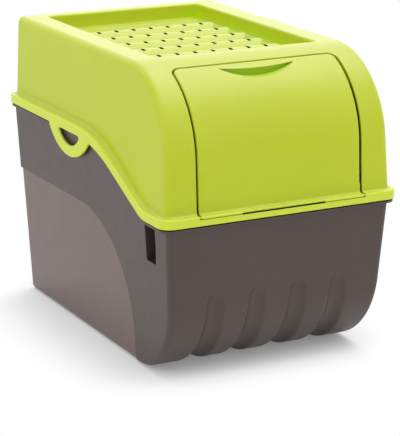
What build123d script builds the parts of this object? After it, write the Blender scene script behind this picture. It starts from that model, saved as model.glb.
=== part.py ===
from build123d import *
import os
from math import cos, radians, sin, tan

# Potato storage bin: a tub, a lift-off hood lid and a front flap, three mouldings.
# Millimetres. X is the width, +Y the rear, +Z up; origin on the floor at the middle.

# ---------------------------------------------------------------- driving dimensions
width = 240.0  # across the lid's flange
depth = 356.0  # along the lid's flange
height = 283.5  # floor to the top of the lid
lid_wall = 2.2
bin_wall = 2.4
flange_radius = 12.0  # corner of the flange in plan

# the seam between tub and lid: high at the rear, low at the front, a slope between
seam_rear_z = 197.5
seam_front_z = 149.8
seam_slope = 25.0  # degrees
seam_middle_y = -82.0  # where the slope is at half height
seam_upper_radius = 180.0
seam_lower_radius = 40.0
seam_gap = 0.3  # running clearance where the lid sits on the tub

# the lid's hood above its flange
skirt_height = 8.5  # outer face of the flange
skirt_edge = 1.2  # rounding of the flange's upper edge
cove_radius = 3.0  # hollow between flange and hood
hood_inset_side = 7.2  # hood wall in from the flange, at the rear seam
hood_inset_rear = 2.0
hood_inset_front = 8.2
hood_draft = 0.045  # lean of the hood's sides and front, mm per mm
hood_rear_draft = 0.012
hood_radius = 7.0  # soft edges of the hood
brow_radius = 80.5  # the hood's curved front

# the perforated tray sunk in the top of the hood
tray_inset_side = 36.8  # in from the flange, at the tray's rim
tray_inset_front = 90.5
tray_inset_rear = 21.6
tray_depth = 15.5
tray_draft = 0.06
tray_corner = 4.0
tray_foot = 3.0
tray_rim = 2.0  # rounding of the tray's rim
ridge_count = 5
ridge_pitch = 33.4
ridge_shift = -6.5  # the ridges' middle, ahead of the tray's middle
ridge_height = 6.5
ridge_width = 28.0
ridge_end_gap = 13.2  # from a ridge's round end to the tray's rim
ridge_edge = 1.2  # rounding of a ridge's ends
slot_columns = 7
slot_pitch = 18.6
slot_width = 3.0
slot_length = 9.0

# the lifting loops, one on each side of the lid
loop_middle_y = 25.0
loop_drop = 24.7  # below the seam
loop_radius = 58.0
loop_hole_drop = 14.2
loop_hole_radius = 32.5
loop_hole_top = 1.0  # the hole's straight edge, below the seam
loop_hole_corner = 2.0
loop_thickness = 2.5
loop_edge = 0.8  # rounding of the loop's outer face

# the flap and its opening in the lid's curved front
opening_inset = 35.8  # in from the flange, at each side
opening_corner = 10.0
opening_top_angle = 69.5  # degrees up the brow, from its front
flap_side_gap = 2.3
flap_top_gap = 1.1
flap_return = 3.2  # depth of the flap's turned-in edge
flap_edge = 1.6  # rounding of the flap's outer edge
rabbet_width = 5.0  # ledge of the lid under the flap's top edge
rabbet_drop = 30.0  # lower end of the ledge, below the top of the lid
scoop_half_width = 38.0
scoop_tip_drop = 8.3  # heights of the finger scoop, below the top of the lid
scoop_upper_drop = 10.0
scoop_lower_drop = 16.8
scoop_depth = 6.0
scoop_wall = 1.6

# the flap's hinge in the upper front edge of the flange
bead_radius = 1.4
bead_setback = 0.1  # the bead stands this much behind the flange's front face
hinge_gap = 0.25  # between the bead and the flange below it
pin_radius = 0.8
pin_clearance = 0.06
pin_length = 5.0
pin_end_gap = 0.4
pin_wall = 1.2
vent_half_width = 42.0  # the open slit in the middle of the hinge
vent_length = 9.5  # from the bead's front to the back of the slit
vent_lip = 0.9  # thickness of the ledge above the slit

# the tub
bin_inset_side = 4.2  # tub wall in from the flange, at the rear seam
bin_inset_rear = 5.8
bin_inset_front = 5.2  # the same, at the front seam
bin_draft = 0.056  # lean of the tub's sides, mm per mm
bin_rear_draft = 0.012
bin_front_draft = 0.085
bin_radius = 5.5  # soft edges of the tub
rocker_radius = 79.0  # curve from the tub's front to its floor
lip_inset = 1.2  # outward lip under the flange, in from the flange's face
lip_thickness = 2.0
lip_drop = 1.5  # from the flange's lower edge down to the lip
lip_notch_margin = 3.0  # room around the loops
panel_step = 1.5  # lower rear part of the tub, set in
panel_drop = 67.5  # its upper edge, below the rear seam
panel_radius = 103.0
panel_inset_front = 90.0
flute_count = 4
flute_pitch = 42.0
flute_radius = 13.5
flute_depth = 6.5  # under the floor
flute_rise = 3.5  # how much shallower a groove is at the level of the curve's middle
flute_start = 6.0  # degrees down the curve, where a groove begins
flute_edge = 3.0  # rounding of a groove's rim
pocket_inset_front = 32.0  # a hollow in each side, under the front of the seam
pocket_length = 20.5
pocket_drop = 4.3  # below the front seam
pocket_height = 36.0
pocket_depth = 10.4
pocket_slant = 31.0  # degrees, of its front face

# ---------------------------------------------------------------- derived values
half_width = width / 2
half_depth = depth / 2
far = 2 * max(width, depth, height)  # reach of forms that have no end of their own
overcut = 1.0  # how far a cutting form passes the face that it cuts
seam_half_run = (seam_rear_z - seam_front_z) / 2 / tan(radians(seam_slope))
seam_upper_y = seam_middle_y + seam_half_run
seam_lower_y = seam_middle_y - seam_half_run
ledge_z = seam_front_z + skirt_height
rim_rise = skirt_height - lid_wall - seam_gap  # tub wall inside the lid's flange


# ---------------------------------------------------------------- shared forms
def slab(half_x, front, rear, bottom, top):
    """A plain box, symmetric in X."""
    middle = Pos(0, (front + rear) / 2, (bottom + top) / 2)
    return middle * Box(2 * half_x, rear - front, top - bottom)


def side_prism(points, rounds=()):
    """Extrude an outline in Y and Z across the whole width.

    Args:
        points: corners as (y, z).
        rounds: (corner index, radius) pairs.
    """
    face = make_face(Plane.YZ * Polyline(*points, close=True))
    for index, radius in rounds:
        corner = Vector(0, *points[index])
        near = face.vertices().sort_by(lambda v: (Vector(v) - corner).length)[0]
        face = fillet(near, radius)
    return extrude(face, far, both=True)


def below_seam(rise=0.0):
    """Everything below the seam, moved up by rise."""
    points = [
        (-far, -far),
        (far, -far),
        (far, seam_rear_z + rise),
        (seam_upper_y, seam_rear_z + rise),
        (seam_lower_y, seam_front_z + rise),
        (-far, seam_front_z + rise),
    ]
    return side_prism(points, [(3, seam_upper_radius), (4, seam_lower_radius)])


def above_seam(rise=0.0):
    """Everything above the seam, moved up by rise."""
    return slab(far, -far, far, 0, far) - below_seam(rise)


def flange_block(inset):
    """The flange's plan as a tall block, moved in by inset."""
    outline = RectangleRounded(width - 2 * inset, depth - 2 * inset, flange_radius - inset)
    return extrude(outline, height)


def tapered_block(low, high):
    """Loft between two rectangles given as (half x, front, rear, z)."""
    faces = []
    for half_x, front, rear, z in (low, high):
        faces.append(Pos(0, (front + rear) / 2, z) * Rectangle(2 * half_x, rear - front))
    return loft(faces)


def front_prism(outline, front, rear):
    """Extrude an outline in X and Z between two values of Y."""
    return extrude(Pos(0, rear) * (Plane.XZ * outline), rear - front)


# ---------------------------------------------------------------- the hood's form
def hood_side(z):
    """Half width of the hood's outer wall at height z."""
    return half_width - hood_inset_side - hood_draft * (z - seam_rear_z)


def hood_rear(z):
    """Y of the hood's rear wall at height z."""
    return half_depth - hood_inset_rear - hood_rear_draft * (z - seam_rear_z)


def hood_front(z):
    """Y of the hood's front wall at height z."""
    return hood_inset_front - half_depth + hood_draft * (z - seam_rear_z)


hood_bottom = seam_front_z - 4 * skirt_height
brow_center_z = height - brow_radius
brow_center_y = hood_front(brow_center_z) + brow_radius * (1 + hood_draft**2) ** 0.5


def brow_y(z):
    """Y of the hood's curved front at height z."""
    return brow_center_y - (brow_radius**2 - (z - brow_center_z) ** 2) ** 0.5


def hood_block(inset):
    """The hood's outer form with its curved brow, moved in by inset."""
    bottom = hood_bottom
    top = height - inset
    sides = tapered_block(
        (hood_side(bottom) - inset, hood_front(bottom) - far, hood_rear(bottom) - inset, bottom),
        (hood_side(top) - inset, hood_front(top) - far, hood_rear(top) - inset, top),
    )
    profile = [
        (far, bottom),
        (hood_front(bottom) + inset, bottom),
        (hood_front(top) + inset, top),
        (far, top),
    ]
    block = sides & side_prism(profile, [(2, brow_radius - inset)])
    soft = [e for e in block.edges() if (e @ 0.5).Z > bottom + overcut]
    soft = [e for e in soft if not runs_across(e)]
    return fillet(soft, hood_radius - inset)


def runs_across(edge):
    """Whether an edge lies ahead of the middle and is symmetric in X."""
    middle = edge @ 0.5
    return abs(middle.X) < half_width / 2 and middle.Y < 0


# ---------------------------------------------------------------- the tray
tray_half_width = half_width - tray_inset_side
tray_front_y = tray_inset_front - half_depth
tray_rear_y = half_depth - tray_inset_rear
tray_floor_z = height - tray_depth
ridge_middle_y = (tray_front_y + tray_rear_y) / 2 + ridge_shift
ridge_half_length = tray_half_width - ridge_end_gap
ridge_radius = (ridge_height**2 + (ridge_width / 2) ** 2) / (2 * ridge_height)
ridge_crest_z = tray_floor_z + ridge_height
ridge_steps = [i - (ridge_count - 1) / 2 for i in range(ridge_count)]
ridge_middles = [ridge_middle_y + step * ridge_pitch for step in ridge_steps]


def tray_block(inset):
    """The tray's hollow, moved in by inset, past the top of the hood."""
    floor_lean = tray_draft * tray_depth + inset
    top_lean = inset - tray_draft * overcut
    low = (
        tray_half_width - floor_lean, tray_front_y + floor_lean,
        tray_rear_y - floor_lean, tray_floor_z + inset,
    )
    high = (
        tray_half_width - top_lean, tray_front_y + top_lean,
        tray_rear_y - top_lean, height + overcut,
    )
    block = tapered_block(low, high)
    walls = [e for e in block.edges() if e.bounding_box().size.Z > tray_depth / 2]
    block = fillet(walls, tray_corner - inset)
    return fillet(block.edges().group_by(Axis.Z)[0], tray_foot - inset)


def ridges(inset):
    """The round-ended ridges of the tray's floor, moved in by inset."""
    outline = SlotOverall(2 * (ridge_half_length - inset), ridge_width)
    bar = Rot(0, 90, 0) * Cylinder(ridge_radius - inset, 2 * ridge_half_length)
    ridge = bar & extrude(outline, 2 * ridge_radius)
    ridge = fillet([e for e in ridge.edges() if is_ridge_end(e)], ridge_edge)
    return [Pos(0, y, ridge_crest_z - ridge_radius) * ridge for y in ridge_middles]


def is_ridge_end(edge):
    """Whether an edge runs round the upper end of a ridge that lies at the origin."""
    middle = edge @ 0.5
    return abs(middle.X) > ridge_half_length - ridge_width / 2 and middle.Z > ridge_edge


def tray_slots():
    """Every slot through the ridges' crests."""
    columns = [(i - (slot_columns - 1) / 2) * slot_pitch for i in range(slot_columns)]
    outline = SlotOverall(slot_length, slot_width, rotation=90)
    cell = extrude(outline, ridge_height + lid_wall, both=True)
    return [Pos(x, y, ridge_crest_z) * cell for x in columns for y in ridge_middles]


# ---------------------------------------------------------------- the lifting loops
loop_bottom_z = seam_rear_z - loop_drop
loop_middle_z = loop_bottom_z + loop_radius
loop_half_width = (loop_radius**2 - (loop_radius - loop_drop) ** 2) ** 0.5


def loop_tab(side):
    """One D-shaped lifting loop under the flange, on the side -1 or 1."""
    hole_middle_z = seam_rear_z - loop_hole_drop + loop_hole_radius
    hole_top_z = seam_rear_z - loop_hole_top
    top_z = seam_rear_z + skirt_height / 2
    outer = Pos(loop_middle_y, loop_middle_z) * Circle(loop_radius)
    outer = outer & Pos(loop_middle_y, top_z - far / 2) * Rectangle(far, far)
    hole = Pos(loop_middle_y, hole_middle_z) * Circle(loop_hole_radius)
    hole = hole & Pos(loop_middle_y, hole_top_z - far / 2) * Rectangle(far, far)
    hole = fillet(hole.vertices(), loop_hole_corner)
    tab = extrude(Plane.YZ * (outer - hole), loop_thickness)
    face = tab.faces().sort_by(Axis.X)[-1 if side > 0 else 0]
    tab = fillet([e for e in face.edges() if (e @ 0.5).Z < top_z - overcut], loop_edge)
    return Pos(max(side * half_width - loop_thickness, -half_width)) * tab


# ---------------------------------------------------------------- the flap's opening
opening_half_width = half_width - opening_inset
flap_half_width = opening_half_width - flap_side_gap
foot_top_z = ledge_z + cove_radius
hinge_y = bead_radius + bead_setback - half_depth
hinge_z = ledge_z - bead_radius
hinge_floor_z = hinge_z - bead_radius - hinge_gap
rabbet_inset = flap_return + seam_gap


def front_window(side_inset, top_inset):
    """The opening's outline, cut square to the brow at its top, moved in."""
    angle = radians(opening_top_angle)
    top_point = (
        0,
        brow_center_y - brow_radius * cos(angle),
        brow_center_z + brow_radius * sin(angle),
    )
    plane = Plane(origin=top_point, x_dir=(1, 0, 0), z_dir=(0, -cos(angle), sin(angle)))
    outline = Pos(0, -top_inset - far / 2) * Rectangle(2 * (opening_half_width - side_inset), far)
    corners = outline.vertices().group_by(Axis.Y)[-1]
    outline = fillet(corners, opening_corner - side_inset)
    return extrude(plane * outline, far, both=True)


def flap_opening():
    """What the flap's opening takes out of the lid, down to its hinge."""
    return front_window(0, 0) & slab(far, -far, 0, hinge_floor_z, height)


def rabbet():
    """The lid's ledge behind the upper edge of the flap."""
    outer = front_window(-lid_wall, -lid_wall)
    plate = hood_block(rabbet_inset) - hood_block(rabbet_inset + lid_wall)
    web = hood_block(lid_wall / 2) - hood_block(rabbet_inset + lid_wall)
    ledge = plate & (outer - front_window(rabbet_width, rabbet_width))
    ledge += web & (outer - front_window(0, 0))
    return ledge & slab(far, -far, 0, height - rabbet_drop, height)


def hinge_cheeks():
    """Blocks inside the flange, left and right, for the flap's pins."""
    outer = flap_half_width + pin_length + pin_end_gap + lid_wall
    reach = pin_radius + pin_clearance + pin_wall
    front = lid_wall / 2 - half_depth
    top = ledge_z - lid_wall / 2
    blocks = slab(outer, front, hinge_y + reach, hinge_z - reach, top)
    return blocks - slab(opening_half_width, -far, 0, 0, height)


def hinge_bar(radius, half_x):
    """A round bar along the hinge's axis."""
    return Pos(0, hinge_y, hinge_z) * Rot(0, 90, 0) * Cylinder(radius, 2 * half_x)


# ---------------------------------------------------------------- the lid
def seam_z(y):
    """Height of the seam at y, away from its two rounded corners."""
    slope = seam_front_z + (y - seam_lower_y) * tan(radians(seam_slope))
    return min(max(slope, seam_front_z), seam_rear_z)


def follows_seam(edge, rise):
    """Whether both ends of an edge lie on the seam, moved up by rise."""
    ends = (edge @ 0, edge @ 1)
    return all(abs(point.Z - seam_z(point.Y) - rise) < 0.01 for point in ends)


def lid_outside():
    """The lid's outer form: flange, cove and hood, with the tray's recess."""
    flange = flange_block(0) & below_seam(skirt_height) & above_seam()
    flange = fillet([e for e in flange.edges() if follows_seam(e, skirt_height)], skirt_edge)
    hood = hood_block(0) & above_seam(skirt_height / 2)
    outside = flange + hood
    outside = fillet(new_edges(flange, hood, combined=outside), cove_radius)
    recess = tray_block(0)
    sunk = outside - recess
    return fillet(new_edges(outside, recess, combined=sunk).group_by(Axis.Z)[-1], tray_rim)


def make_lid():
    """Hood, flange, tray, loops and the opening for the flap, as one moulding."""
    tray = tray_block(-lid_wall)
    floor_up = slab(far, -far, far, tray_floor_z - lid_wall / 2, height)
    skirt_room = flange_block(lid_wall) & below_seam(skirt_height - lid_wall)
    lid = lid_outside() - (skirt_room + (hood_block(lid_wall) - tray))
    lid += [ridge & floor_up for ridge in ridges(0)]
    lid -= ridges(lid_wall)
    lid -= tray_slots()
    lid += [loop_tab(side) for side in (-1, 1)]
    lid += rabbet()
    lid += hinge_cheeks()
    lid -= flap_opening()
    lid -= hinge_bar(pin_radius + pin_clearance, flap_half_width + pin_length + pin_end_gap)
    return lid


# ---------------------------------------------------------------- the flap
def foot():
    """The flap's foot: it carries the cove across the flange and ends in the bead."""
    wall_y = hood_front(foot_top_z)
    top = foot_top_z + 2 * cove_radius
    under = ledge_z - lid_wall
    cove = RadiusArc((wall_y, foot_top_z), (wall_y - cove_radius, ledge_z), cove_radius)
    rest = Polyline(
        (wall_y - cove_radius, ledge_z),
        (hinge_y, ledge_z),
        (hinge_y, under),
        (wall_y + lid_wall, under),
        (hood_front(top) + lid_wall, top),
        (hood_front(top), top),
        (wall_y, foot_top_z),
    )
    web = extrude(Plane.YZ * make_face(cove + rest), flap_half_width, both=True)
    back = hinge_y - bead_radius + vent_length
    slit = slab(vent_half_width, -far, back, 0, ledge_z - vent_lip)
    return web + hinge_bar(bead_radius, flap_half_width) - slit


def scoop_outline():
    """Lens-shaped outline of the finger scoop, in X and Z."""
    left = (-scoop_half_width, height - scoop_tip_drop)
    right = (scoop_half_width, height - scoop_tip_drop)
    upper = ThreePointArc(left, (0, height - scoop_upper_drop), right)
    lower = ThreePointArc(left, (0, height - scoop_lower_drop), right)
    return make_face(upper + lower)


def is_on_hood(edge):
    """Whether an edge of the flap's wall lies on the hood's outer face."""
    middle = edge @ 0.5
    if middle.Z < foot_top_z + flap_edge:
        return False
    if middle.Z < brow_center_z:
        return middle.Y < hood_front(middle.Z) + 0.1
    reach = (Vector(0, middle.Y, middle.Z) - Vector(0, brow_center_y, brow_center_z)).length
    return reach > brow_radius - 0.1


def make_flap():
    """The curved flap with its turned-in edge, finger scoop, foot and hinge bead."""
    above_foot = slab(far, -far, 0, foot_top_z, height)
    plug = hood_block(0) & front_window(flap_side_gap, flap_top_gap) & above_foot
    plug = fillet([e for e in plug.edges() if is_on_hood(e)], flap_edge)
    hollow = hood_block(lid_wall) & front_window(
        flap_side_gap + lid_wall, flap_top_gap + lid_wall
    )
    flap = plug - hollow - hood_block(flap_return)
    flap += foot()
    outline = scoop_outline()
    back = brow_y(height - scoop_upper_drop) + scoop_depth
    pocket = front_prism(offset(outline, scoop_wall), -far, back + scoop_wall)
    flap += pocket & hood_block(lid_wall / 2)
    flap -= front_prism(outline, -far, back)
    flap += hinge_bar(pin_radius, flap_half_width + pin_length)
    return flap


# ---------------------------------------------------------------- the tub
def tub_side(z):
    """Half width of the tub's outer wall at height z."""
    return half_width - bin_inset_side + bin_draft * (z - seam_rear_z)


def tub_rear(z):
    """Y of the tub's rear wall at height z."""
    return half_depth - bin_inset_rear + bin_rear_draft * (z - seam_rear_z)


def tub_front(z):
    """Y of the tub's front wall at height z."""
    return bin_inset_front - half_depth - bin_front_draft * (z - seam_front_z)


tub_top = seam_rear_z + 2 * rim_rise
rocker_center_y = tub_front(rocker_radius) + rocker_radius * (1 + bin_front_draft**2) ** 0.5


def tub_block(inset, step):
    """The tub's outer form, moved in by inset; step also moves its sides and rear."""
    set_in = inset + step
    low = (tub_side(inset) - set_in, -far, tub_rear(inset) - set_in, inset)
    high = (tub_side(tub_top) - set_in, -far, tub_rear(tub_top) - set_in, tub_top)
    profile = [
        (tub_front(tub_top) + inset, tub_top),
        (tub_front(inset) + inset, inset),
        (far, inset),
        (far, tub_top),
    ]
    block = tapered_block(low, high) & side_prism(profile, [(1, rocker_radius - inset)])
    soft = [e for e in block.edges() if (e @ 0.5).Z < tub_top - overcut]
    soft = [e for e in soft if not runs_across(e)]
    return fillet(soft, bin_radius - inset)


def tub_form(inset):
    """The tub with its lower rear part set in."""
    top = seam_rear_z - panel_drop
    front = panel_inset_front - half_depth
    panel = side_prism([(far, -far), (far, top), (front, top), (front, -far)], [(2, panel_radius)])
    return (tub_block(inset, 0) - panel) + (tub_block(inset, panel_step) & panel)


def flutes(grow):
    """Round grooves that run down the tub's front and under it, grown by grow."""
    radius = flute_radius + grow
    reach = rocker_radius + flute_radius - flute_depth + flute_rise
    middle = Pos(0, rocker_center_y, rocker_radius + flute_rise)
    top = middle * Rot(flute_start, 0, 0) * Pos(0, -reach, 0)
    foot_end = middle * Pos(0, 0, -reach)
    axis = Axis(middle.position, (1, 0, 0))
    bend = revolve(top * Circle(radius), axis, 90 - flute_start)
    dome = Sphere(radius, arc_size1=0, align=(Align.CENTER, Align.CENTER, Align.MIN))
    flute = bend + top * dome + foot_end * Rot(-90, 0, 0) * dome
    places = [(i - (flute_count - 1) / 2) * flute_pitch for i in range(flute_count)]
    return [Pos(x) * flute for x in places]


def side_pocket(side, grow):
    """The hollow in one side wall, with a slanted front face, grown by grow."""
    slant = radians(pocket_slant)
    top = seam_front_z - pocket_drop + grow
    bottom = seam_front_z - pocket_drop - pocket_height - grow
    wall = tub_side((top + bottom) / 2)
    inner = wall - pocket_depth - grow
    front = pocket_inset_front - half_depth - grow / sin(slant)
    slant_end = front + (pocket_depth + grow) / tan(slant)
    rear = pocket_inset_front + pocket_length - half_depth + grow
    points = [(far, front), (wall, front), (inner, slant_end), (inner, rear), (far, rear)]
    hollow = extrude(Pos(0, 0, bottom) * make_face(Polyline(*points, close=True)), top - bottom)
    return hollow if side > 0 else mirror(hollow, Plane.YZ)


def lip():
    """Outward lip under the lid's flange, cut away under the lifting loops."""
    ring = flange_block(lip_inset) & below_seam(-lip_drop)
    ring = ring & above_seam(-lip_drop - lip_thickness)
    half_notch = loop_half_width + lip_notch_margin
    return ring - slab(far, loop_middle_y - half_notch, loop_middle_y + half_notch, 0, height)


def make_bin():
    """The tub with its rim, lip, flutes and side pockets."""
    outside = tub_form(0)
    inside = tub_form(bin_wall)
    for groove, cover in zip(flutes(0), flutes(bin_wall)):
        grooved = outside - groove
        outside = fillet(new_edges(outside, groove, combined=grooved), flute_edge)
        inside -= cover
    for side in (-1, 1):
        outside -= side_pocket(side, 0)
        inside -= side_pocket(side, bin_wall)
    return (outside & below_seam(rim_rise)) + lip() - inside


os.makedirs("parts", exist_ok=True)
nodes = {
    "bin": make_bin(),
    "lid": make_lid(),
    "flap": make_flap(),
}
for name, shape in nodes.items():
    shape.label = name
    export_step(shape, f"parts/{name}.step")
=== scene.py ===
"""Looks of a potato storage bin: a taupe tub, a lime hood and the flap in the hood's front.

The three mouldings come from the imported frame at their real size. This script gives them their
finishes, stands them on a pale floor and lights them softly. Lengths are in metres, or in
millimetres where a comment says so.
"""
import logging
import math
from dataclasses import dataclass

import bpy
from mathutils import Matrix, Vector

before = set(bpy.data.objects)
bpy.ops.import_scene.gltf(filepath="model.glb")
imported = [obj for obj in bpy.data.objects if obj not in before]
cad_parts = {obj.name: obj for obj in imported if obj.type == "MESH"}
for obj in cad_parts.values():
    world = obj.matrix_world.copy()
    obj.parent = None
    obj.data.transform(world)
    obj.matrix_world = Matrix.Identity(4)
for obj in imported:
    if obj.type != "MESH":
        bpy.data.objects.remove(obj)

log = logging.getLogger("potato_bin")

MILLIMETRE = 0.001
WHITE = (1.0, 1.0, 1.0, 1.0)

# Places of the colour sockets on a Mix node, which has several sockets of each name.
MIX_SHARE, MIX_FIRST, MIX_SECOND = 0, 6, 7
MIX_RESULT = 2
NOISE_MIDDLE = 0.5  # the value that noise varies about

Colour = tuple[float, float, float, float]  # linear red, green and blue, and alpha
Range = tuple[float, float]


# ---------------------------------------------------------------- colours
def linear(red: int, green: int, blue: int) -> Colour:
    """A screen colour, 0 to 255 a channel, as linear light.

    Args:
        red: red channel.
        green: green channel.
        blue: blue channel.

    Returns:
        The colour with an alpha of 1.
    """
    channels = []
    for value in (red, green, blue):
        share = value / 255
        channels.append(share / 12.92 if share <= 0.04045 else ((share + 0.055) / 1.055) ** 2.4)
    return (*channels, 1.0)


# ---------------------------------------------------------------- shader maths
@dataclass(frozen=True)
class Noise:
    """Smooth noise over an object."""

    scale: float  # features a metre
    detail: float  # octaves
    rough: float = 0.5  # share that each finer octave keeps


class Field:
    """A socket of a node tree, so that shader maths reads as plain expressions."""

    def __init__(self, graph: "Graph", socket: bpy.types.NodeSocket) -> None:
        """Wraps one output socket of graph."""
        self.graph = graph
        self.socket = socket

    def _math(self, operation: str, *values: "Field | float") -> "Field":
        """One Math node over values."""
        return self.graph.node("ShaderNodeMath", {"operation": operation}, list(values))

    def __add__(self, other: "Field | float") -> "Field":
        """Sum."""
        return self._math("ADD", self, other)

    def __radd__(self, other: float) -> "Field":
        """Sum with a number in front."""
        return self._math("ADD", other, self)

    def __sub__(self, other: "Field | float") -> "Field":
        """Difference."""
        return self._math("SUBTRACT", self, other)

    def __rsub__(self, other: float) -> "Field":
        """Difference from a number in front."""
        return self._math("SUBTRACT", other, self)

    def __mul__(self, other: "Field | float") -> "Field":
        """Product."""
        return self._math("MULTIPLY", self, other)

    def __truediv__(self, other: "Field | float") -> "Field":
        """Quotient."""
        return self._math("DIVIDE", self, other)

    def __pow__(self, other: float) -> "Field":
        """Power."""
        return self._math("POWER", self, other)

    def largest(self, other: "Field | float") -> "Field":
        """The larger of this and other."""
        return self._math("MAXIMUM", self, other)

    def to_nearest(self, pitch: float) -> "Field":
        """Distance to the nearest whole multiple of pitch."""
        return self._math("PINGPONG", self, pitch / 2)

    def size(self) -> "Field":
        """This without its sign."""
        return self._math("ABSOLUTE", self)

    def step(self, start: float, end: float) -> "Field":
        """A soft step from 0 at start to 1 at end.

        Args:
            start: value where the step leaves 0.
            end: value where it reaches 1.

        Returns:
            The stepped field.
        """
        settings = {"interpolation_type": "SMOOTHSTEP"}
        return self.graph.node("ShaderNodeMapRange", settings, [self, start, end, 0.0, 1.0])

    def within(self, limit: float, blur: float) -> "Field":
        """1 up to limit, and 0 from blur beyond it."""
        return 1.0 - self.step(limit, limit + blur)


class Graph:
    """The node tree of one material or world."""

    def __init__(self, tree: bpy.types.NodeTree) -> None:
        """Empties tree and takes it over."""
        self.tree = tree
        tree.nodes.clear()

    def node(
        self,
        kind: str,
        settings: dict | None = None,
        inputs: list | dict | None = None,
        output: int | str = 0,
    ) -> Field:
        """Adds a node.

        Args:
            kind: the node's type.
            settings: its properties, set first.
            inputs: values or fields for its sockets, by place or by name.
            output: the output socket to return.

        Returns:
            The chosen output.
        """
        made = self.tree.nodes.new(kind)
        for name, value in (settings or {}).items():
            setattr(made, name, value)
        pairs = inputs.items() if isinstance(inputs, dict) else enumerate(inputs or [])
        for key, value in pairs:
            if isinstance(value, Field):
                self.tree.links.new(value.socket, made.inputs[key])
            else:
                made.inputs[key].default_value = value
        return Field(self, made.outputs[output]) if made.outputs else Field(self, None)

    def dot(self, first: Field, second: Field | tuple[float, float, float]) -> Field:
        """How far two directions agree, 1 where they are the same."""
        settings = {"operation": "DOT_PRODUCT"}
        return self.node("ShaderNodeVectorMath", settings, [first, second], output="Value")

    def place(self) -> Field:
        """The point on the object, in metres, in the object's own frame."""
        return self.node("ShaderNodeTexCoord", output="Object")

    def axes(self) -> tuple[Field, Field, Field]:
        """The same point as three numbers, in millimetres."""
        parts = [
            self.node("ShaderNodeSeparateXYZ", None, [self.place()], output=axis) / MILLIMETRE
            for axis in "XYZ"
        ]
        return parts[0], parts[1], parts[2]

    def noise(self, pattern: Noise) -> Field:
        """Smooth noise over the object.

        Args:
            pattern: what the noise is like.

        Returns:
            A number about 0.5.
        """
        return self.node("ShaderNodeTexNoise", None, {
            "Vector": self.place(),
            "Scale": pattern.scale,
            "Detail": pattern.detail,
            "Roughness": pattern.rough,
        })

    def mix(self, share: Field | float, first: Field | Colour, second: Field | Colour) -> Field:
        """Mixes two colours.

        Args:
            share: how much of second is taken.
            first: colour at 0.
            second: colour at 1.

        Returns:
            The mixed colour.
        """
        values = {MIX_SHARE: share, MIX_FIRST: first, MIX_SECOND: second}
        return self.node("ShaderNodeMix", {"data_type": "RGBA"}, values, output=MIX_RESULT)


# ---------------------------------------------------------------- finishes
@dataclass
class Skin:
    """What a finish is made of, while its node tree is drawn up."""

    colour: Field
    roughness: Field
    relief: Field


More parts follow.
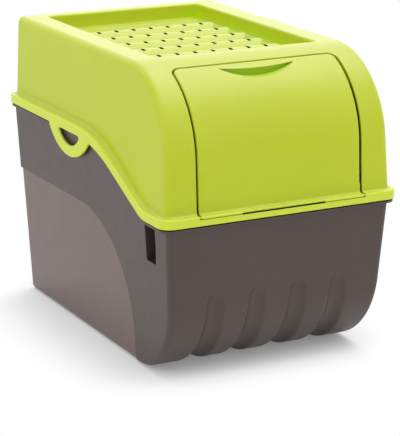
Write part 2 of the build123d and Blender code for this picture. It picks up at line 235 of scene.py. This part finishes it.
@dataclass(frozen=True)
class MouldedPlastic:
    """Satin injection-moulded plastic with a fine grain and slightly softened edges, lightened in
    patches partly by wear and partly by a painted highlight.
    """

    name: str
    colour: Colour
    shade: Colour
    # colour at the edges: partly wear, partly a painted highlight
    worn_and_highlight: Colour
    roughness: float
    roughness_spread: float
    grain: Noise
    grain_height: float
    drift: Noise = Noise(9.0, 3.0)  # slow change between colour and shade
    drift_range: Range = (0.35, 0.65)
    drift_share: float = 0.5
    cloud: Noise = Noise(60.0, 4.0, 0.6)  # finer change of the same kind
    cloud_share: float = 0.25
    scuff_and_highlight_noise: Noise = Noise(180.0, 3.0, 0.65)  # where the edges show wear and a painted highlight
    scuff_and_highlight_range: Range = (0.45, 0.60)
    scuff_roughness: float = 0.1
    swell: Noise = Noise(22.0, 2.0)  # faint waves of a moulded wall
    swell_height: float = 0.12 * MILLIMETRE
    relief_strength: float = 0.6
    edge_radius: float = 1.0 * MILLIMETRE
    edge_samples: int = 6
    edge_turn: Range = (0.02, 0.30)  # turn of the normal from a face to an edge
    # how far the edges turn to that colour: partly wear, partly a painted highlight
    edge_wear_and_highlight: float = 0.35
    specular: float = 0.5
    glow: float = 0.0  # share of light that spreads inside the wall
    glow_depth: float = 4.0 * MILLIMETRE
    glow_spread: tuple[float, float, float] = (1.0, 1.0, 0.25)
    painted_top_sheen: float = 0.0  # painted sheen: how far surfaces that face up turn to a pale colour, standing in for the light from above
    painted_top_sheen_falloff: float = 2.0
    painted_top_sheen_colour: Colour = linear(186, 184, 138)

    def zones(self, graph: Graph, skin: Skin) -> Skin:
        """Where the finish differs from place to place.

        Args:
            graph: the material's tree.
            skin: the finish so far.

        Returns:
            The finish with its zones, here the same all over.
        """
        return skin

    def material(self) -> bpy.types.Material:
        """Builds the material once, for every piece that is moulded from this plastic.

        Returns:
            The finished material.
        """
        made = bpy.data.materials.get(self.name)
        if made is not None:
            return made
        made = bpy.data.materials.new(self.name)
        made.use_nodes = True
        graph = Graph(made.node_tree)
        soft = graph.node("ShaderNodeBevel", {"samples": self.edge_samples},
                          {"Radius": self.edge_radius})
        facing = graph.node("ShaderNodeNewGeometry", output="Normal")
        edge = (1.0 - graph.dot(soft, facing)).step(*self.edge_turn)
        drift = graph.noise(self.drift).step(*self.drift_range)
        cloud = graph.noise(self.cloud)
        shading = drift * self.drift_share + cloud * self.cloud_share
        base = graph.mix(shading, self.colour, self.shade)
        # edges lightened in patches: partly wear, partly a painted highlight
        scuff_and_highlight = edge * graph.noise(self.scuff_and_highlight_noise).step(*self.scuff_and_highlight_range) * self.edge_wear_and_highlight
        # painted sheen on surfaces that face up, standing in for the light from above
        if self.painted_top_sheen:
            upward = graph.dot(facing, (0.0, 0.0, 1.0)).largest(0.0)
            base = graph.mix(upward ** self.painted_top_sheen_falloff * self.painted_top_sheen, base, self.painted_top_sheen_colour)
        grain = graph.noise(self.grain) * self.grain_height
        rough = (cloud - NOISE_MIDDLE) * self.roughness_spread + scuff_and_highlight * self.scuff_roughness
        skin = self.zones(graph, Skin(
            colour=graph.mix(scuff_and_highlight, base, self.worn_and_highlight),
            roughness=self.roughness + rough,
            relief=grain + graph.noise(self.swell) * self.swell_height,
        ))
        bump = graph.node("ShaderNodeBump", None, {
            "Strength": self.relief_strength,
            "Distance": 1.0,
            "Height": skin.relief,
            "Normal": soft,
        })
        surface = graph.node("ShaderNodeBsdfPrincipled", None, {
            "Base Color": skin.colour,
            "Roughness": skin.roughness,
            "Normal": bump,
            "Specular IOR Level": self.specular,
            "Subsurface Weight": self.glow,
            "Subsurface Scale": self.glow_depth,
            "Subsurface Radius": self.glow_spread,
        })
        graph.node("ShaderNodeOutputMaterial", None, {"Surface": surface})
        return made


@dataclass(frozen=True)
class LimePlastic(MouldedPlastic):
    """The lid's and the flap's plastic, with painted green bounce light where it is enclosed and a
    paler tone painted on the flange as a highlight.

    The tray's slots and the hinge's slit carry painted shade, and the lid carries the mould's gate
    mark.
    """

    slot_pitch: tuple[float, float] = (18.6, 33.4)  # millimetres, as the sizes below
    slot_middle_y: float = 27.95
    slot_reach: tuple[float, float] = (1.55, 4.55)  # half a slot
    slot_blur: float = 0.35
    slot_field: tuple[float, float] = (60.0, 76.0)  # half the area that has slots
    slot_field_blur: float = 1.0
    # painted shade for the slots and the slit
    painted_gap_shade: Colour = linear(20, 26, 6)
    slot_roughness: float = 0.4
    gate: tuple[float, float] = (0.0, -101.8)
    gate_radius: float = 1.6
    gate_line: float = 0.7
    gate_heights: Range = (200.0, 210.0)  # it is on the top alone
    gate_share: float = 0.35
    gate_groove: float = 0.15 * MILLIMETRE  # in metres, like the rest of the relief
    flange_edge: tuple[float, float, float] = (115.2, -171.8, 176.8)  # side, front and rear
    flange_blur: float = 1.0
    # painted highlight: the flange is made paler, standing in for the light that falls on it
    painted_flange_highlight_share: float = 0.5
    painted_flange_highlight_colour: Colour = linear(211, 225, 72)
    # painted bounce light: enclosed places turn a greener colour, standing in for light bounced
    # inside the lime plastic
    painted_bounce_colour: Colour = linear(186, 228, 6)
    painted_bounce_distance: float = 22.0
    painted_bounce_range: Range = (0.15, 0.75)  # share of the surroundings that is hidden
    painted_bounce_share: float = 0.8
    painted_bounce_samples: int = 8
    slit_half: float = 42.0
    slit_rear: float = -175.6
    slit_blur: float = 0.3
    slit_floor: Range = (155.0, 155.15)  # heights where its floor sets in
    slit_ceiling: Range = (155.4, 155.6)  # and where it has ended

    def zones(self, graph: Graph, skin: Skin) -> Skin:
        """Paints shade into the slots and the slit, paints green bounce light where the plastic is
        enclosed, paints a paler tone on the flange as a highlight and prints the gate mark.

        Args:
            graph: the material's tree.
            skin: the finish so far.

        Returns:
            The finish with its zones.
        """
        x, y, z = graph.axes()
        slot = self._slots(x, y)
        slit = self._slit(x, y, z)
        ring = self._gate_ring(x, y, z)
        side, front, rear = self.flange_edge
        beyond = (x.size() - side).largest(front - y).largest(y - rear)
        flange = beyond.step(0.0, self.flange_blur)
        # painted green bounce light where the surroundings hide a place
        opened = graph.node(
            "ShaderNodeAmbientOcclusion",
            {"samples": self.painted_bounce_samples, "only_local": True},
            {"Distance": self.painted_bounce_distance * MILLIMETRE},
            output="AO",
        )
        painted_bounce = (1.0 - opened).step(*self.painted_bounce_range)
        # painted highlight: the flange turns paler, standing in for the light that falls on it
        colour = graph.mix(flange * self.painted_flange_highlight_share, skin.colour, self.painted_flange_highlight_colour)
        colour = graph.mix(painted_bounce * self.painted_bounce_share, colour, self.painted_bounce_colour)
        colour = graph.mix(ring * self.gate_share, colour, self.shade)
        return Skin(
            # painted shade in the slots and the slit
            colour=graph.mix(slot.largest(slit), colour, self.painted_gap_shade),
            roughness=skin.roughness + slot * self.slot_roughness,
            relief=skin.relief - ring * self.gate_groove,
        )

    def _slots(self, x: Field, y: Field) -> Field:
        """1 inside the tray's slots, where shade is painted."""
        row = y - self.slot_middle_y
        near_x = x.to_nearest(self.slot_pitch[0]).within(self.slot_reach[0], self.slot_blur)
        near_y = row.to_nearest(self.slot_pitch[1]).within(self.slot_reach[1], self.slot_blur)
        area_x = x.size().within(self.slot_field[0], self.slot_field_blur)
        area_y = row.size().within(self.slot_field[1], self.slot_field_blur)
        return near_x * near_y * (area_x * area_y)

    def _slit(self, x: Field, y: Field, z: Field) -> Field:
        """1 on the floor of the hinge's slit, where shade is painted."""
        ahead = y.within(self.slit_rear, self.slit_blur)
        level = z.step(*self.slit_floor) * (1.0 - z.step(*self.slit_ceiling))
        return x.size().within(self.slit_half, self.slit_blur) * ahead * level

    def _gate_ring(self, x: Field, y: Field, z: Field) -> Field:
        """1 on the line of the gate mark."""
        across, along = x - self.gate[0], y - self.gate[1]
        away = (across * across + along * along) ** 0.5
        line = (away - self.gate_radius).size().within(0.0, self.gate_line)
        return line * z.step(*self.gate_heights)


@dataclass(frozen=True)
class TaupePlastic(MouldedPlastic):
    """The tub's plastic: its lower rear part, which is set in, is paler and smoother."""

    panel_top: float = 130.0  # millimetres, as the sizes below
    panel_front: float = -88.0
    panel_radius: float = 103.0
    panel_blur: Range = (-0.2, 0.2)
    panel_share: float = 0.8
    panel_colour: Colour = linear(94, 71, 64)
    panel_roughness: float = 0.34

    def zones(self, graph: Graph, skin: Skin) -> Skin:
        """Makes the part that is set in paler and smoother.

        Args:
            graph: the material's tree.
            skin: the finish so far.

        Returns:
            The finish with its zones.
        """
        _, y, z = graph.axes()
        middle_y = self.panel_front + self.panel_radius
        middle_z = self.panel_top - self.panel_radius
        across = (middle_y - y).largest(0.0)
        above = (z - middle_z).largest(0.0)
        reach = (across * across + above * above) ** 0.5
        panel = (self.panel_radius - reach).step(*self.panel_blur)
        change = self.panel_roughness - self.roughness
        return Skin(
            colour=graph.mix(panel * self.panel_share, skin.colour, self.panel_colour),
            roughness=skin.roughness + panel * change,
            relief=skin.relief,
        )


LIME = LimePlastic(
    name="lime_moulded_plastic",
    colour=linear(181, 193, 28),
    shade=linear(175, 188, 24),
    worn_and_highlight=linear(206, 216, 104),
    roughness=0.38,
    roughness_spread=0.08,
    grain=Noise(1400.0, 3.0, 0.55),
    grain_height=0.02 * MILLIMETRE,
    specular=0.34,
    glow=0.35,
    painted_top_sheen=0.32,
)

TAUPE = TaupePlastic(
    name="taupe_moulded_plastic",
    colour=linear(62, 43, 37),
    shade=linear(57, 39, 33),
    worn_and_highlight=linear(118, 104, 98),
    roughness=0.45,
    roughness_spread=0.10,
    grain=Noise(1100.0, 3.0, 0.55),
    grain_height=0.03 * MILLIMETRE,
    specular=0.7,
)


# ---------------------------------------------------------------- the object
@dataclass
class Moulding:
    """One injection moulding of the bin, shown by its CAD node."""

    node: str
    slot: str
    finish: MouldedPlastic

    def build(self) -> bpy.types.Object:
        """Takes the node's solid from the frame."""
        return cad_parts[self.node]

    def dress(self, shape: bpy.types.Object) -> None:
        """Gives the moulding its finish.

        Args:
            shape: the node's object.
        """
        shape.data.materials.clear()
        shape.data.materials.append(self.finish.material())
        log.info("%s: %s", self.node, self.finish.name)


# ---------------------------------------------------------------- the studio
@dataclass(frozen=True)
class SoftBox:
    """A square area lamp that looks at the object."""

    name: str
    place: tuple[float, float, float]
    side: float
    power: float
    target: tuple[float, float, float] = (0.0, 0.0, 0.12)

    def build(self) -> None:
        """Hangs the lamp."""
        lamp = bpy.data.lights.new(self.name, "AREA")
        lamp.shape = "SQUARE"
        lamp.size = self.side
        lamp.energy = self.power
        holder = bpy.data.objects.new(self.name, lamp)
        aim = Vector(self.target) - Vector(self.place)
        holder.location = self.place
        holder.rotation_euler = aim.to_track_quat("-Z", "Y").to_euler()
        bpy.context.scene.collection.objects.link(holder)
        log.info("lamp %s", self.name)


@dataclass(frozen=True)
class Studio:
    """Pale floor, soft lamps and the camera."""

    azimuth: float = -27.102  # degrees, from straight ahead towards -X
    elevation: float = 15.626
    roll: float = -0.178
    distance: float = 1.88298
    target: tuple[float, float, float] = (0.001253, -0.01062, 0.104984)
    focal_pixels: float = 1948.03
    image_height: int = 436
    sensor: float = 36.0
    floor_side: float = 16.0
    floor_glow: float = 0.18  # share of the floor that is white whatever shades it
    footprint: tuple[float, float, float] = (112.0, 130.0, 30.0)  # half x, half y, middle y, mm
    shadow_reach: Range = (16.0, 105.0)  # millimetres from the footprint
    ambient: float = 0.75
    floor_colour: Colour = (0.93, 0.94, 0.95, 1.0)
    lamps: tuple[SoftBox, ...] = (
        SoftBox("top_softbox", (0.4, 0.1, 2.4), 2.2, 43.5),
        SoftBox("left_softbox", (-2.4, -0.2, 1.2), 1.6, 11.0),
        SoftBox("front_softbox", (0.6, -2.6, 1.5), 1.6, 6.0),
        SoftBox("rear_softbox", (1.15, 2.25, 0.85), 1.8, 9.0),
    )

    def build(self) -> None:
        """Sets up floor, world, lamps and camera."""
        self._floor()
        self._world()
        for lamp in self.lamps:
            lamp.build()
        self._camera()
        bpy.context.scene.view_settings.view_transform = "Standard"

    @staticmethod
    def _shown(graph: Graph) -> Field:
        """Where the background is seen straight, in gloss or through something clear."""
        seen = [
            graph.node("ShaderNodeLightPath", output=name)
            for name in ("Is Camera Ray", "Is Glossy Ray", "Is Transmission Ray")
        ]
        return seen[0].largest(seen[1]).largest(seen[2])

    def _world(self) -> None:
        """White where it is seen, and an even dim light on the object."""
        world = bpy.data.worlds.new("pale_room")
        world.use_nodes = True
        bpy.context.scene.world = world
        graph = Graph(world.node_tree)
        light = graph.node("ShaderNodeBackground", None, {"Color": WHITE, "Strength": self.ambient})
        seen = graph.node("ShaderNodeBackground", None, {"Color": WHITE, "Strength": 1.0})
        both = graph.node("ShaderNodeMixShader", None, [self._shown(graph), light, seen])
        graph.node("ShaderNodeOutputWorld", None, {"Surface": both})

    def _floor(self) -> None:
        """A pale floor that keeps the shadow near the object and is white further out."""
        half = self.floor_side / 2
        mesh = bpy.data.meshes.new("floor")
        corners = [(-half, -half, 0), (half, -half, 0), (half, half, 0), (-half, half, 0)]
        mesh.from_pydata(corners, [], [(0, 1, 2, 3)])
        floor = bpy.data.objects.new("floor", mesh)
        bpy.context.scene.collection.objects.link(floor)
        made = bpy.data.materials.new("pale_floor")
        made.use_nodes = True
        graph = Graph(made.node_tree)
        x, y, _ = graph.axes()
        beside = (x.size() - self.footprint[0]).largest(0.0)
        ahead = ((y - self.footprint[2]).size() - self.footprint[1]).largest(0.0)
        away = (beside * beside + ahead * ahead) ** 0.5
        far_out = away.step(*self.shadow_reach)
        share = self._shown(graph) * (self.floor_glow + far_out * (1.0 - self.floor_glow))
        matt = graph.node("ShaderNodeBsdfDiffuse", None, {"Color": self.floor_colour})
        white = graph.node("ShaderNodeEmission", None, {"Color": WHITE, "Strength": 1.0})
        both = graph.node("ShaderNodeMixShader", None, [share, matt, white])
        graph.node("ShaderNodeOutputMaterial", None, {"Surface": both})
        mesh.materials.append(made)
        log.info("floor")

    def _camera(self) -> None:
        """The camera, placed by its angles about its target."""
        turn, lift = math.radians(self.azimuth), math.radians(self.elevation)
        back = Vector((
            math.sin(turn) * math.cos(lift),
            -math.cos(turn) * math.cos(lift),
            math.sin(lift),
        ))
        right = (-back).cross(Vector((0, 0, 1))).normalized()
        up = right.cross(-back)
        tilt = Matrix.Rotation(math.radians(self.roll), 3, back)
        right, up = tilt @ right, tilt @ up
        basis = Matrix((right, up, back)).transposed().to_4x4()
        data = bpy.data.cameras.new("camera")
        data.sensor_width = self.sensor
        data.lens = self.focal_pixels * self.sensor / self.image_height
        camera = bpy.data.objects.new("camera", data)
        camera.matrix_world = Matrix.Translation(Vector(self.target) + back * self.distance) @ basis
        bpy.context.scene.collection.objects.link(camera)
        bpy.context.scene.camera = camera
        log.info("camera")


def main() -> None:
    """Builds and dresses every moulding, then the studio."""
    logging.basicConfig(level=logging.INFO, format="%(name)s %(message)s")
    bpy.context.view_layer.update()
    mouldings = [
        Moulding("bin", "taupe_plastic", TAUPE),
        Moulding("lid", "lime_plastic", LIME),
        Moulding("flap", "lime_plastic", LIME),
    ]
    for moulding in mouldings:
        moulding.dress(moulding.build())
    Studio().build()


if __name__ == "__main__":
    main()
